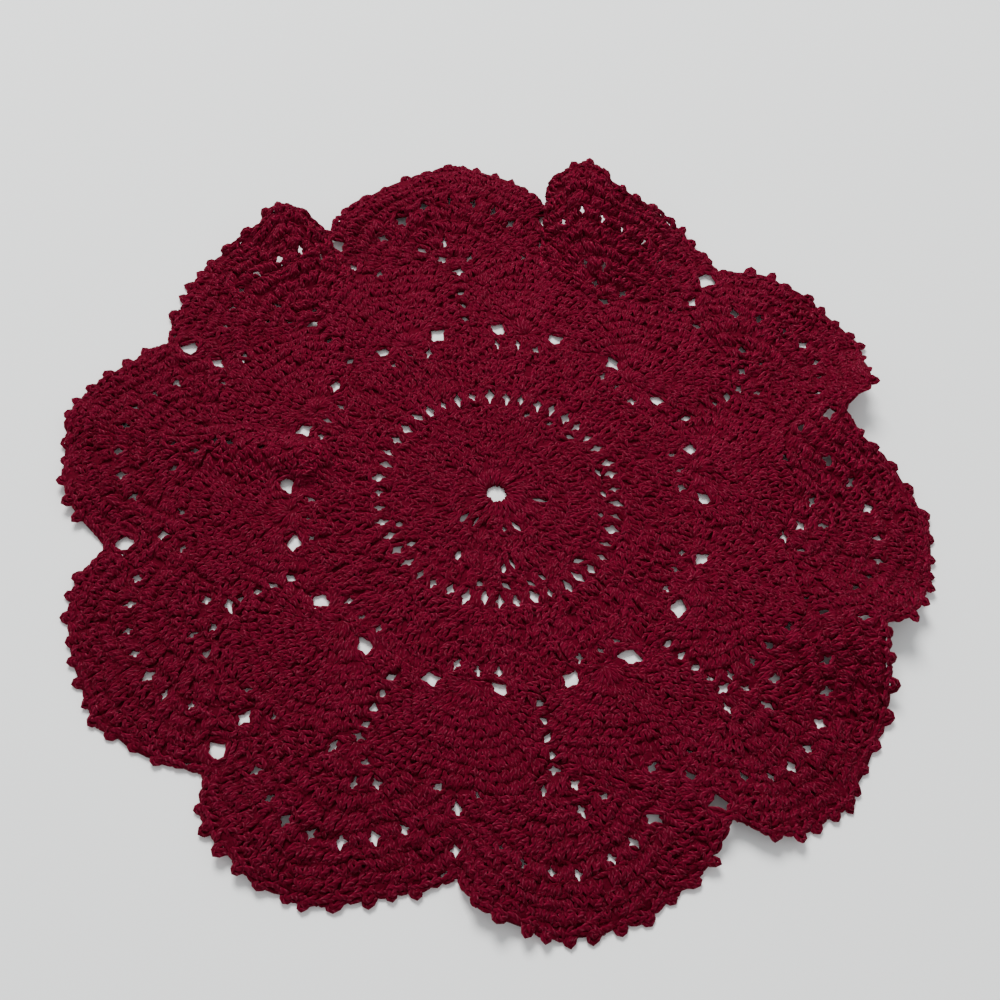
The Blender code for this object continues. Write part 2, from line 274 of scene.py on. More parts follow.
SLIT_SIZE = (2.8, 1.7)
SLIT_SIZES = (0.7, 1.2)
SEAM_CHANCE = (0.4, 0.0, 0.6, 0.5, 0.6, 0.9, 0.9, 0.9, 0.6, 0.0)

# Each family of rows has copies, numbered from a first one, round marks that are a turn apart
Family = namedtuple("Family", "number bearing radius")
EYE = Family(0, 0.0, 0.0)
HUB = Family(100, FIRST_HUB, HUB_RADIUS)
FOCUS = Family(200, FIRST_PETAL, FOCUS_RADIUS)
NOBODY = -1
BAND_EDGE = 88.4 * MM
FAN_EDGE = 44.4 * MM

# A row's crest is above 0 where its stitches stand proud in their middle, and below where their ends do. It
# also sets the row's painted shade: the low part of each stitch is painted darker and the proud part lighter
Row = namedtuple(
    "Row", "inner_mm outer_mm pitch_mm cluster kind crest step_deg shift_deg", defaults=(1, 0, 0))
EYE_ROWS = (
    Row(4.5, 13.2, 2.35, 1, "loop"),
    Row(13.2, 22.0, 4.1, 1, "tall", -0.5),
    Row(22.0, 30.8, 4.1, 1, "tall", -0.5),
    Row(30.8, 39.4, 4.1, 1, "tall", -0.5),
    Row(39.4, 47.4, 4.1, 1, "tall", -0.5),
    Row(47.4, 56.0, 3.6, 2, "post", -0.5, 8, 4),
    Row(56.0, 64.6, 4.1, 2, "tall", -0.5),
    Row(64.6, 73.2, 4.1, 3, "tall", -0.5),
    Row(73.2, 81.8, 4.1, 2, "tall", -0.5),
    Row(81.8, 88.8, 4.1, 1, "short", -0.5),
)
HUB_ROWS = (
    Row(0.9, 8.4, 1.9, 1, "loop"),
    Row(8.4, 12.4, 3.85, 1, "close"),
    Row(12.4, 16.4, 3.85, 1, "close"),
    Row(16.4, 20.4, 3.85, 1, "close"),
    Row(20.4, 24.4, 3.85, 1, "close"),
    Row(24.4, 28.4, 3.85, 2, "close"),
    Row(28.4, 32.4, 3.85, 1, "close"),
    Row(32.4, 36.4, 3.85, 2, "close"),
    Row(36.4, 40.4, 3.85, 1, "close"),
    Row(40.4, 44.6, 3.85, 2, "close"),
)
FOCUS_ROWS = (
    Row(2.5, 9.0, 3.6, 1, "short"),
    Row(9.0, 16.0, 4.1, 3, "tall"),
    Row(16.0, 22.5, 4.1, 2, "short"),
    Row(22.5, 29.0, 4.1, 2, "short"),
    Row(29.0, 36.5, 3.4, 3, "tall", 1, 16, 8),
    Row(36.5, 42.5, 3.6, 3, "post", 1, 16, 8),
    Row(42.5, 49.0, 3.2, 4, "short", 1, 16, 0),
    Row(49.0, 54.2, 4.1, 2, "short"),
    Row(54.2, 58.8, 4.1, 1, "short"),
    Row(58.8, 61.7, 4.1, 1, "edge"),
)

# A stitch's strands as points: u along the row in stitch widths, v from the row's foot to its head,
# and the height over the middle of the sheet in millimetres, each in hundredths
HUNDREDTHS = 100
Strand = namedtuple("Strand", "name thick points")
TALL = (
    Strand("left leg", 1.0, ((-8, -18, 40), (-26, 10, 75), (-30, 38, 75), (-20, 66, 80), (-26, 96, -20))),
    Strand("right leg", 1.0, ((12, -14, 20), (10, 14, 60), (24, 42, 80), (32, 70, 60), (18, 98, -30))),
    Strand("low wrap", 0.95, ((-46, 50, -20), (-26, 40, 105), (0, 28, 150), (24, 16, 105), (42, 6, -10))),
    Strand("high wrap", 0.95, ((4, 92, -10), (26, 80, 105), (50, 68, 140), (74, 58, 105), (96, 50, -10))),
    Strand("chain", 1.0, ((-58, 104, -30), (-28, 90, 65), (2, 86, 95), (30, 95, 65), (54, 112, -20))),
)
SHORT = (
    Strand("left leg", 1.0, ((-10, -24, 40), (-26, 8, 75), (-30, 40, 80), (-18, 70, 80), (-24, 98, -20))),
    Strand("right leg", 1.0, ((12, -20, 20), (10, 14, 65), (24, 42, 85), (33, 68, 65), (20, 98, -30))),
    Strand("wrap", 0.95, ((-24, 80, -20), (-2, 66, 105), (24, 46, 145), (48, 28, 105), (68, 14, -10))),
    Strand("chain", 1.0, ((-58, 106, -30), (-28, 86, 65), (2, 80, 100), (30, 92, 65), (54, 114, -20))),
)
CLOSE = (
    Strand("left leg", 1.0, ((4, -30, 30), (-12, 6, 80), (-28, 44, 105), (-38, 80, 75), (-30, 108, -20))),
    Strand("right leg", 1.0, ((-4, -26, 20), (14, 10, 85), (25, 48, 115), (31, 80, 80), (22, 106, -20))),
    Strand("chain", 1.0, ((-56, 106, -30), (-28, 78, 70), (2, 68, 100), (30, 84, 70), (52, 116, -20))),
)
EDGE = (
    Strand("leg", 1.0, ((-30, -45, -30), (-25, -5, 45), (-5, 35, 85), (20, 65, 60), (30, 95, -20))),
    Strand("head", 1.05, ((-70, 90, -20), (-35, 62, 60), (0, 60, 85), (35, 72, 60), (70, 95, -20))),
    Strand("rim", 1.05, ((-62, 80, -40), (-30, 104, 5), (2, 112, 10), (34, 102, 5), (64, 78, -40))),
)
LOOP = (
    Strand("loop", 1.0, ((0, 2, -70), (3, 4, 55), (-2, 36, 85), (2, 70, 70), (5, 98, -20))),
    Strand("between", 0.9, ((50, 42, -30), (52, 55, 40), (48, 72, 60), (50, 88, 45), (50, 104, -30))),
)
POST = (
    Strand("left leg", 1.0, ((-20, -10, -40), (-30, 15, 45), (-20, 45, 80), (-24, 75, 70), (-10, 100, -10))),
    Strand("right leg", 1.0, ((26, -8, -40), (30, 18, 50), (22, 45, 70), (30, 72, 60), (20, 98, -20))),
    Strand("wrap", 0.95, ((-40, 72, -10), (-25, 62, 80), (2, 50, 110), (26, 40, 90), (40, 30, -10))),
    Strand("head", 1.0, ((-62, 96, -10), (-32, 90, 70), (0, 92, 95), (34, 98, 75), (62, 104, -10))),
)
FRONT = {"tall": TALL, "short": SHORT, "close": CLOSE, "edge": EDGE, "loop": LOOP, "post": POST}
BACK_BAR = Strand("back bar", 1.0, ((-42, 8, -30), (0, 48, -55), (42, 92, -30)))
BACK = dict.fromkeys(FRONT, (BACK_BAR,))

# A picot's strands: along and out from the petal's edge, and the height, in hundredths of a millimetre
PICOT = (
    Strand("loop", 1.0, ((-170, -180, -20), (-180, 40, 10), (0, 190, 20), (180, 40, 10), (170, -180, -20))),
    Strand("knot", 1.1, ((-100, -220, 0), (-100, -60, 80), (0, 50, 95), (100, -60, 80), (100, -220, 0))),
    Strand("under", 1.1, ((-140, -80, -50), (-80, 30, -55), (0, 90, -55), (80, 30, -55), (140, -80, -50))),
)

# --- camera, floor and light
CAMERA_TARGET = (-1.26 * MM, -5.20 * MM, 0.0)
CAMERA_DISTANCE = 521.3 * MM
CAMERA_ELEVATION = 58.70
CAMERA_ROLL = 10.88
CAMERA_LENS = 43.2
FLOOR_SIZE = 6.0
WINDOW_AT = (-0.9, 1.8, 2.35)
WINDOW_SIZE = 1.5
WINDOW_POWER = 165
ROOM_COLOUR = (0.95, 0.98, 1.0, 1)
ROOM_STRENGTH = 0.84


def direction(bearing):
    """The unit vector at a bearing in degrees."""
    return Vector((math.cos(math.radians(bearing)), math.sin(math.radians(bearing))))


def as_array(vectors):
    """Vectors as the rows of an array."""
    return np.array([list(vector) for vector in vectors])


def unit(vectors):
    """Vectors made one long."""
    return vectors / np.linalg.norm(vectors, axis=-1)[..., None]


def smooth(t):
    """An S-shaped step from 0 to 1."""
    t = np.clip(t, 0, 1)
    return t * t * (3 - 2 * t)


# --- laying the flat pattern out
def edge_radius(bearing):
    """The pattern's own reach at a bearing, without picots."""
    off = np.radians((bearing - FIRST_PETAL + TURN / 2) % TURN - TURN / 2)
    return FOCUS_RADIUS * np.cos(off) + np.sqrt(PETAL_RADIUS**2 - (FOCUS_RADIUS * np.sin(off)) ** 2)


def spoke_values(bearing):
    """How far each pattern bearing is turned, in degrees, and how much its lace is stretched outwards."""
    ring = SPOKES + SPOKES[:1]
    marks = np.array([s.pattern for s in SPOKES] + [SPOKES[0].pattern + 360])
    turns = np.array([s.bearing - s.pattern for s in ring])
    reach = np.array([s.reach_mm * MM for s in ring])
    stretch = (reach - WARP_FROM) / (edge_radius(marks) - WARP_FROM)
    bearing = (bearing - marks[0]) % 360 + marks[0]
    i = np.clip(np.searchsorted(marks, bearing, side="right") - 1, 0, len(SPOKES) - 1)
    t = smooth((bearing - marks[i]) / (marks[i + 1] - marks[i]))
    return turns[i] + (turns[i + 1] - turns[i]) * t, stretch[i] + (stretch[i + 1] - stretch[i]) * t


def fold_height(x, y, fold):
    """The height that one fold gives to pattern points."""
    start = np.array(direction(fold.at_in)) * fold.r_in * MM
    run = np.array(direction(fold.at_out)) * fold.r_out * MM - start
    length = math.hypot(*run)
    run = run / length
    along = (x - start[0]) * run[0] + (y - start[1]) * run[1]
    across = (y - start[1]) * run[0] - (x - start[0]) * run[1]
    past = np.maximum(-along, 0)
    width = np.where(across > 0, fold.ccw_mm, fold.cw_mm) * MM
    off = np.clip(np.hypot(across, past) / width, 0, 1)
    rise = fold.rise_in + (fold.rise_out - fold.rise_in) * smooth(along / length)
    return rise * MM * (1 - off**2) ** 2


def lean(bearing, radius, lap):
    """How far a lap shifts pattern points clockwise, and how much it lifts them."""
    off = (bearing - lap.pattern + 180) % 360 - 180
    weight = smooth((radius - NOTCH_RADIUS) / LAP_REACH) * (1 - smooth(np.abs(off) / LAP_SPAN))
    weight = np.where(off > 0, weight, 0)
    return weight * lap.lean_mm * MM, weight * lap.rise_mm * MM


def lay(x, y):
    """The middle of the sheet on the table, for points of the flat pattern."""
    radius = np.hypot(x, y)
    bearing = np.degrees(np.arctan2(y, x))
    turn, stretch = spoke_values(bearing)
    edge = edge_radius(bearing)
    out = smooth((radius - WARP_FROM) / (edge - WARP_FROM))
    height = np.full_like(x, THICKNESS / 2)
    for fold in FOLDS:
        height = height + fold_height(x, y, fold)
    leaning = np.zeros_like(x)
    for lap in LAPS:
        shift, rise = lean(bearing, radius, lap)
        leaning = leaning + shift
        height = height + rise
    reach = np.maximum(radius - WARP_FROM, 0)
    far = radius + reach * (stretch - 1)
    angle = np.radians(bearing + turn * out) - leaning / np.maximum(far, MM)
    return np.stack((EYE_AT[0] + far * np.cos(angle), EYE_AT[1] + far * np.sin(angle), height), -1)


def laid(x, y, w):
    """Points at height w over the middle of the laid sheet, and the sheet's normals there."""
    ahead = lay(x + SLOPE_STEP, y) - lay(x - SLOPE_STEP, y)
    beside = lay(x, y + SLOPE_STEP) - lay(x, y - SLOPE_STEP)
    normal = unit(np.cross(ahead, beside))
    return lay(x, y) + normal * w[..., None], normal


# --- gaps
def four_corners(middle, far, side, lean_by=0.0):
    """Corners of an opening, counterclockwise from its far end."""
    leaning = side * lean_by
    return as_array((middle + far + leaning, middle + side, middle - far + leaning, middle - side))


def gap_outline(mark_radius, bearing, gap, chance):
    """Corners of one gap, placed outwards and to the left of its mark, as uneven as handwork."""
    middle = direction(bearing) * (mark_radius + gap.along * MM)
    middle += direction(bearing + 90) * (gap.across * MM)
    middle += Vector((chance.uniform(-SHIFT, SHIFT), chance.uniform(-SHIFT, SHIFT)))
    size = 1 + chance.uniform(-SIZE_SPREAD, SIZE_SPREAD)
    turn = bearing + gap.turn + chance.uniform(-TURN_SPREAD, TURN_SPREAD)
    far = direction(turn) * (gap.length * MM * size / 2 * gap.shown)
    side = direction(turn + 90) * (gap.width * MM * size / 2 * gap.shown)
    return four_corners(middle, far, side, chance.uniform(-CORNER_SPREAD, CORNER_SPREAD))


def arc_of_gaps(mark_radius, mark_bearing, radius, angles, gap, chance, opens):
    """Gaps along an arc round a mark, at angles either side of the mark's outward direction."""
    mark = direction(mark_bearing) * mark_radius
    outlines = []
    for angle, share in zip(angles, opens):
        at = mark + direction(mark_bearing + angle) * radius
        bearing = math.degrees(math.atan2(at.y, at.x))
        turned = gap._replace(turn=mark_bearing + angle - bearing, shown=gap.shown * share)
        outline = gap_outline(at.length, bearing, turned, chance)
        if share > 0:
            outlines.append(outline)
    return outlines


def gaps():
    """Every gap of the lace but the eye, each an outline in the flat pattern."""
    chance = random.Random(SEED)
    openness = random.Random(SEED + 2)
    outlines = []
    for i in range(RING_GAPS):
        outlines.append(gap_outline(RING_RADIUS, 360 * i / RING_GAPS, RING_GAP, chance))
    arc_angles = [(i - (ARC_GAPS - 1) / 2) * ARC_STEP for i in range(ARC_GAPS)]
    loose_angles = [-LOOSE_STEP * (i + 2) for i in range(LOOSE_GAPS)]
    for k in range(REPEATS):
        hub = FIRST_HUB + k * TURN
        focus = hub + TURN / 2
        for gap in HUB_GAPS:
            if gap.name == "notch outer":
                gap = gap._replace(shown=gap.shown * NOTCH_OPEN[k])
            outlines.append(gap_outline(HUB_RADIUS, hub, gap, chance))
        for gap in PETAL_GAPS:
            outlines.append(gap_outline(FOCUS_RADIUS, focus, gap, chance))
        opens = [ARC_OPEN[k] * openness.uniform(1 - ARC_SPREAD, 1 + ARC_SPREAD) for _ in arc_angles]
        outlines += arc_of_gaps(FOCUS_RADIUS, focus, ARC_RADIUS, arc_angles, ARC_GAP, chance, opens)
        if k in LOOSE_HUBS:
            opens = [LOOSE_HUBS[k]] * LOOSE_GAPS
            outlines += arc_of_gaps(HUB_RADIUS, hub, LOOSE_RADIUS, loose_angles, LOOSE_GAP, chance, opens)
    return outlines


def slits():
    """Outlines of the small openings: those near the eye, and those down the seams between fans."""
    chance = random.Random(SEED + 1)
    made = list(SLITS)
    for k in range(REPEATS):
        for radius in SLIT_RADII:
            if chance.random() < SEAM_CHANCE[k]:
                at = direction(FIRST_PETAL + k * TURN) * radius
                size = chance.uniform(*SLIT_SIZES)
                length, width = SLIT_SIZE
                made.append(Slit(at.x, at.y, length * size, width * size, chance.uniform(0, 180)))
    outlines = []
    for slit in made:
        far = direction(slit.turn) * slit.length * MM / 2
        side = direction(slit.turn + 90) * slit.width * MM / 2
        outlines.append(four_corners(Vector((slit.x, slit.y)) * MM, far, side))
    return outlines


# --- stitches in the flat pattern
# For each strand and point, x and y in the flat pattern, height over the middle, and painted shade: below 0
# painted darker, above 0 lighter
Yarn = namedtuple("Yarn", "x y w thick shade")


def joined(yarns):
    """Several lots of yarn as one."""
    return Yarn(*(np.concatenate(parts) for parts in zip(*yarns)))


def waves(x, y, table):
    """A slow uneven shift, in metres, made of a few waves."""
    total = np.zeros_like(x)
    for wave in table:
        run = direction(wave.bearing)
        total = total + wave.shift_mm * MM * np.sin(
            (x * run.x + y * run.y) * 2 * math.pi / (wave.length_mm * MM) + wave.phase)
    return total


def mark_of(family, copy):
    """The mark that a copy's rows go round, in the pattern."""
    return direction(family.bearing + copy * TURN) * family.radius


def distance(x, y, family, copy):
    """How far each pattern point is from the mark of its own copy of a family."""
    angle = np.radians(family.bearing + copy * TURN)
    return np.hypot(x - family.radius * np.cos(angle), y - family.radius * np.sin(angle))


def owner(x, y):
    """The number of the copy that works each pattern point."""
    bearing = (np.degrees(np.arctan2(y, x)) - FIRST_HUB) / TURN
    hub = np.round(bearing) % REPEATS
    petal = np.floor(bearing) % REPEATS
    who = np.where(distance(x, y, FOCUS, petal) > PETAL_RADIUS, NOBODY, FOCUS.number + petal)
    who = np.where(distance(x, y, HUB, hub) < FAN_EDGE, HUB.number + hub, who)
    return np.where(np.hypot(x, y) < BAND_EDGE, EYE.number, who).astype(int)


def ring_of_stitches(row, axis, chance):
    """Where one whole round's stitches have their heads and feet, in radians, and how wide a stitch is."""
    if row.step_deg:
        step = math.radians(row.step_deg)
        groups = int(2 * math.pi / step)
        start = axis + math.radians(row.shift_deg)
    else:
        middle = row.inner_mm + PITCH_AT * (row.outer_mm - row.inner_mm)
        groups = round(2 * math.pi * middle / row.pitch_mm / row.cluster)
        step = 2 * math.pi / groups
        start = chance.uniform(0, 2 * math.pi)
    width = step / row.cluster
    centres = start + step * (np.arange(groups) - groups // 2)
    within = width * (np.arange(row.cluster) - (row.cluster - 1) / 2)
    heads = (centres[:, None] + within).ravel()
    feet = (centres[:, None] + within * (PINCH if row.cluster > 1 else 1.0)).ravel()
    crowns = np.tile(CROWN * (1 - (2 * within / step) ** 2), groups)
    spread = STITCH_JITTER * width
    heads += chance.uniform(-spread, spread, heads.shape)
    feet += chance.uniform(-spread, spread, feet.shape)
    return heads, feet, crowns if row.cluster > 1 else crowns * 0, width


def worked_strand(row, strand, mark, width, heads, feet, crowns, shifts, hands):
    """One strand of every stitch of a round, in the flat pattern; hands says which way each leans."""
    u, v, w = np.array(strand.points).T / HUNDREDTHS
    u = u * hands[:, None]
    share = np.clip(v, 0, 1)
    angle = feet[:, None] * (1 - share) + heads[:, None] * share + u * width
    radius = (row.inner_mm + v * (row.outer_mm - row.inner_mm)) * MM + shifts[:, None]
    x = mark.x + radius * np.cos(angle)
    y = mark.y + radius * np.sin(angle)
    rise = (row.crest * ROW_BULGE + crowns[:, None]) * np.sin(math.pi * share) - row.crest * ROW_VALLEY
    # Painted shade along the row: darker where the row lies low, lighter where it stands proud
    shade = np.tile(-row.crest * np.cos(2 * math.pi * share), (len(heads), 1))
    return Yarn(x, y, w * MM + rise, np.full(len(heads), strand.thick), shade)


def worked(family, rows, copies, strands_of):
    """Every strand of some copies of a family of rows, each kept where its stitch is in its own ground."""
    lots = []
    for copy in copies:
        mark = mark_of(family, copy)
        chance = np.random.default_rng([WORK_SEED, family.number + copy])
        for number, row in enumerate(rows):
            heads, feet, crowns, width = ring_of_stitches(row, math.atan2(mark.y, mark.x), chance)
            shifts = chance.uniform(-ROW_JITTER, ROW_JITTER, len(heads))
            radius = (row.inner_mm + row.outer_mm) / 2 * MM
            middle = (heads + feet) / 2
            who = owner(mark.x + radius * np.cos(middle), mark.y + radius * np.sin(middle))
            own = who == family.number + copy
            hands = np.where(chance.random(len(heads)) < OFF_HAND, -1, 1) * (-1) ** number
            stitches = [part[own] for part in (heads, feet, crowns, shifts, hands)]
            lots += [worked_strand(row, strand, mark, width, *stitches) for strand in strands_of[row.kind]]
    return joined(lots)


def petal_half_span():
    """How far round its focus a petal's edge runs from its axis to a notch, in degrees."""
    notch = direction(FIRST_HUB) * NOTCH_RADIUS - direction(FIRST_PETAL) * FOCUS_RADIUS
    return (FIRST_PETAL - math.degrees(math.atan2(notch.y, notch.x)) + 180) % 360 - 180


def picot_angles():
    """Middles of the picots along one petal, in degrees either side of its axis."""
    count = int((2 * petal_half_span() - 2 * SMOOTH_STEP - PICOT_PITCH) / PICOT_PITCH)
    return (np.arange(count) - (count - 1) / 2) * PICOT_PITCH


def picots():
    """The yarn knobs along the petals' edges, left out where an edge is rolled under."""
    lots = []
    for copy in range(REPEATS):
        axis = FIRST_PETAL + copy * TURN
        focus = mark_of(FOCUS, copy)
        angles = picot_angles()
        angles = np.radians(axis + angles[angles > PLAIN_EDGES.get(copy, -90)])
        for strand in PICOT:
            along, out, height = np.array(strand.points).T / HUNDREDTHS * MM
            angle = angles[:, None] + along / PETAL_RADIUS
            radius = PETAL_RADIUS + out
            x = focus.x + radius * np.cos(angle)
            y = focus.y + radius * np.sin(angle)
            w = np.tile(height, (len(angles), 1))
            lots.append(Yarn(x, y, w, np.full(len(angles), strand.thick), np.zeros_like(w)))
    return joined(lots)


# --- gaps push the yarn aside
def in_gap(x, y, corners):
    """Points as measured in a gap: along and across it, where 1 is its rim, with the gap's own axes."""
    far = (corners[0] - corners[2]) / 2
    side = (corners[1] - corners[3]) / 2
    length = np.linalg.norm(far)
    out = far / length
    long_half = length * OPEN_SHARE + RIM_ROOM
    wide_half = np.linalg.norm(side) * OPEN_SHARE + RIM_ROOM
    centre = corners.mean(axis=0)
    dx, dy = x - centre[0], y - centre[1]
    along = (dx * out[0] + dy * out[1]) / long_half
    across = (dy * out[0] - dx * out[1]) / wide_half
    return along, across, centre, out, long_half, wide_half


def pushed_aside(yarn, outlines):
    """The yarn with its points moved out of the gaps, and without strands that still cross one."""
    x, y = yarn.x, yarn.y
    for corners in outlines:
        p, q, centre, out, long_half, wide_half = in_gap(x, y, corners)
        depth = np.maximum(np.hypot(p, q), LEAST_DEPTH)
        near = depth < OPEN_REACH
        grow = np.where(near, (1 + depth * (OPEN_REACH - 1) / OPEN_REACH) / depth, 1.0)
        p, q = p * grow * long_half, q * grow * wide_half
        x = np.where(near, centre[0] + out[0] * p - out[1] * q, x)
        y = np.where(near, centre[1] + out[1] * p + out[0] * q, y)
    kept = np.ones(len(x), bool)
    middle_x = (x[:, 1:] + x[:, :-1]) / 2
    middle_y = (y[:, 1:] + y[:, :-1]) / 2
    for corners in outlines:
        p, q = in_gap(middle_x, middle_y, corners)[:2]
        kept &= (np.hypot(p, q) > CROSSED).all(axis=1)
    return Yarn(*(part[kept] for part in yarn._replace(x=x, y=y)))


def rims(outlines, chance):
    """Strands along the four sides of every gap, bowed a little into it."""
    lines = []
    for corners in outlines:
        centre = corners.mean(axis=0)
        for start, end in zip(corners, np.roll(corners, -1, axis=0)):
            run = end - start
            off = (start + end) / 2 - centre
            off = unit(off - run * off.dot(run) / run.dot(run))
            bow = chance.uniform(1 - RIM_BOW, 1 + RIM_BOW)
            lines.append([(*(start + run * along + off * away * bow * STRAND_RADIUS), height * MM)
                          for along, away, height in RIM_STEPS])
    x, y, w = np.moveaxis(np.array(lines), -1, 0)
    return Yarn(x, y, w, np.full(len(lines), RIM_THICK), np.zeros_like(x))


def unevened(yarn, chance):
    """The yarn with its points a little out of place."""
    shape = yarn.x.shape
    free = smooth((np.hypot(yarn.x, yarn.y) - EYE_RADIUS) / DRIFT_FROM_EYE)
    shift_x, shift_y = chance.normal(0, STRAND_SHIFT, (2, shape[0], 1))
    x = yarn.x + waves(yarn.x, yarn.y, DRIFT) * free + EYE_SHIFT[0] * (1 - free)
    y = yarn.y + waves(yarn.y, -yarn.x, DRIFT) * free + EYE_SHIFT[1] * (1 - free)
    x += shift_x * free + chance.normal(0, JITTER, shape)
    y += shift_y * free + chance.normal(0, JITTER, shape)
    return yarn._replace(x=x, y=y, w=yarn.w + chance.normal(0, JITTER / 2, shape))


# --- strands as tubes
def rounded(yarn, rings):
    """The same strands with more points along them, on smooth curves through the points they had."""
    steps = yarn.x.shape[1]
    at = np.linspace(0, steps - 1, rings)
    i = np.minimum(at.astype(int), steps - 2)
    t = at - i
    weights = (
        (np.maximum(i - 1, 0), (-t + 2 * t**2 - t**3) / 2),
        (i, (2 - 5 * t**2 + 3 * t**3) / 2),
        (i + 1, (t + 4 * t**2 - 3 * t**3) / 2),
        (np.minimum(i + 2, steps - 1), (t**3 - t**2) / 2),
    )
    x, y, w, shade = [sum(part[:, j] * weight for j, weight in weights)
                      for part in (yarn.x, yarn.y, yarn.w, yarn.shade)]
    return Yarn(x, y, w, yarn.thick, shade)


def corner_angles(sides):
    """Where a tube's corners are round it, with one on top of five."""
    return 2 * np.pi * (np.arange(sides) + FIRST_CORNER) / sides


def tube_points(yarn, sides):
    """Corner points of every strand's tube, on or above the table, and each strand's length."""
    count, steps = yarn.x.shape
    w = yarn.w + waves(yarn.x, yarn.y, SWELL)
    points, normal = laid(yarn.x.ravel(), yarn.y.ravel(), w.ravel())
    points = points.reshape(count, steps, 3)
    points[..., 2] = np.maximum(points[..., 2], STRAND_RADIUS)
    normal = normal.reshape(count, steps, 3)
    tangent = unit(np.gradient(points, axis=1))
    side = unit(np.cross(tangent, normal))
    up = np.cross(side, tangent)
    taper = np.ones(steps)
    taper[[0, -1]] = END_TAPER
    size = (yarn.thick[:, None] * taper * STRAND_RADIUS)[:, :, None, None]
    angle = corner_angles(sides)
    around = side[:, :, None, :] * np.cos(angle)[:, None] + up[:, :, None, :] * np.sin(angle)[:, None]
    corners = (points[:, :, None, :] + around * size).reshape(count, -1, 3)
    return corners, np.linalg.norm(np.diff(points, axis=1), axis=2).sum(axis=1)


def tube_faces(steps, sides):
    """One tube's faces, with each face corner's place along and around the strand from 0 to 1."""
    faces, places = [], []
    for j in range(sides):
        k = (j + 1) % sides
        here, there = j / sides, (j + 1) / sides
        for i in range(steps - 1):
            a, b = i * sides, (i + 1) * sides
            low, high = (i + 1) / (steps + 1), (i + 2) / (steps + 1)
            faces.append((a + j, b + j, b + k, a + k))
            places.append(((low, here), (high, here), (high, there), (low, there)))
    cap = 1 / (steps + 1)
    angles = [2 * math.pi * j / sides for j in range(sides)]
    disc = [(0.5 + CAP_SPREAD * math.cos(a), 0.5 + CAP_SPREAD * math.sin(a)) for a in angles]
    faces.append(tuple(range(sides)))
    places.append([(cap * along, around) for along, around in disc])
    end = (steps - 1) * sides
    faces.append(tuple(end + j for j in reversed(range(sides))))
    places.append([(1 - cap * along, around) for along, around in reversed(disc)])
    return faces, places


def add_maps(mesh, places, length):
    """The yarn's own map, in centimetres along, and a map for baking with one cell for each strand."""
    count = len(length)
    flat = np.array([corner for face in places for corner in face])
    start = np.arange(count)[:, None] * MAP_START % MAP_WRAP
    along = flat[:, 0] * length[:, None] / MAP_UNIT + start
    around = np.broadcast_to(flat[:, 1], along.shape)
    cells = math.ceil(math.sqrt(count))
    row, column = np.divmod(np.arange(count), cells)
    room = CELL_ROOM + (1 - 2 * CELL_ROOM) * flat
    across = (column[:, None] + room[:, 1]) / cells
    down = (row[:, None] + room[:, 0]) / cells
    for name, u, v in (("Yarn", along, around), ("OFBake", across, down)):
        layer = mesh.uv_layers.new(name=name)
        layer.data.foreach_set("uv", np.stack([u, v], -1).astype(np.float32).ravel())
    mesh.uv_layers.active = mesh.uv_layers["Yarn"]
    mesh.uv_layers["Yarn"].active_render = True


def add_values(mesh, name, values):
    """A number for every point of a mesh, for its material."""
    mesh.attributes.new(name, "FLOAT", "POINT").data.foreach_set("value", values.astype(np.float32).ravel())


def add_object(name, data):
    """A new object in the scene."""
    made = bpy.data.objects.new(name, data)
    bpy.context.scene.collection.objects.link(made)
    return made


def yarn_piece(name, yarn, material, chance, sides=STRAND_SIDES):
    """One mesh piece of many strands."""
    spread = chance.uniform(1 - THICK_SPREAD, 1 + THICK_SPREAD, len(yarn.thick))
    yarn = yarn._replace(thick=yarn.thick * spread)
    corners, length = tube_points(yarn, sides)
    count, per = corners.shape[:2]
    faces, places = tube_faces(yarn.x.shape[1], sides)
    flat = np.array([corner for face in faces for corner in face])
    loops = (flat + (np.arange(count) * per)[:, None]).ravel()
    sizes = np.tile([len(face) for face in faces], count)
    mesh = bpy.data.meshes.new(name)
    mesh.vertices.add(count * per)
    mesh.vertices.foreach_set("co", corners.astype(np.float32).ravel())
    mesh.loops.add(len(loops))
    mesh.loops.foreach_set("vertex_index", loops.astype(np.int32))
    mesh.polygons.add(len(sizes))
    mesh.polygons.foreach_set("loop_start", (np.cumsum(sizes) - sizes).astype(np.int32))
    mesh.update(calc_edges=True)
    mesh.shade_smooth()
    add_maps(mesh, places, length)
    # Each strand's random tone, plus the painted row shade
    tone = chance.uniform(0, 1, count)[:, None] + ROW_PAINTED_SHADE * np.repeat(yarn.shade, sides, axis=1)
    add_values(mesh, "tone", tone)
    # Painted bounce light: each tube's lower corners get a value that makes the material paint them lighter
    add_values(mesh, "painted_bounce_light", np.tile((1 - np.sin(corner_angles(sides))) / 2, yarn.x.size))
    mesh.materials.append(material)
    return add_object(name, mesh)


# --- the ground that the stitches lie on
def inside(points, loop):
    """Which points lie within a closed outline."""
    within = np.zeros(len(points), bool)
    x, y = points[:, 0], points[:, 1]
    for a, b in zip(loop, np.roll(loop, -1, axis=0)):
        spans = (a[1] > y) != (b[1] > y)
        if a[1] != b[1]:
            within ^= spans & (x < a[0] + (b[0] - a[0]) * (y - a[1]) / (b[1] - a[1]))
    return within


def ground_edge():
    """The ground's outline, a little within the stitches' own edge."""
    half_span = petal_half_span()
    points = []
    for k in range(REPEATS):
        axis = FIRST_PETAL + k * TURN
        focus = mark_of(FOCUS, k)
        points.append(direction(axis - TURN / 2) * (NOTCH_RADIUS - 2 * GROUND_BACK))
        for i in range(1, GROUND_EDGE_STEPS):
            angle = axis + half_span * (2 * i / GROUND_EDGE_STEPS - 1)
            points.append(focus + direction(angle) * (PETAL_RADIUS - GROUND_BACK))
    return as_array(points)


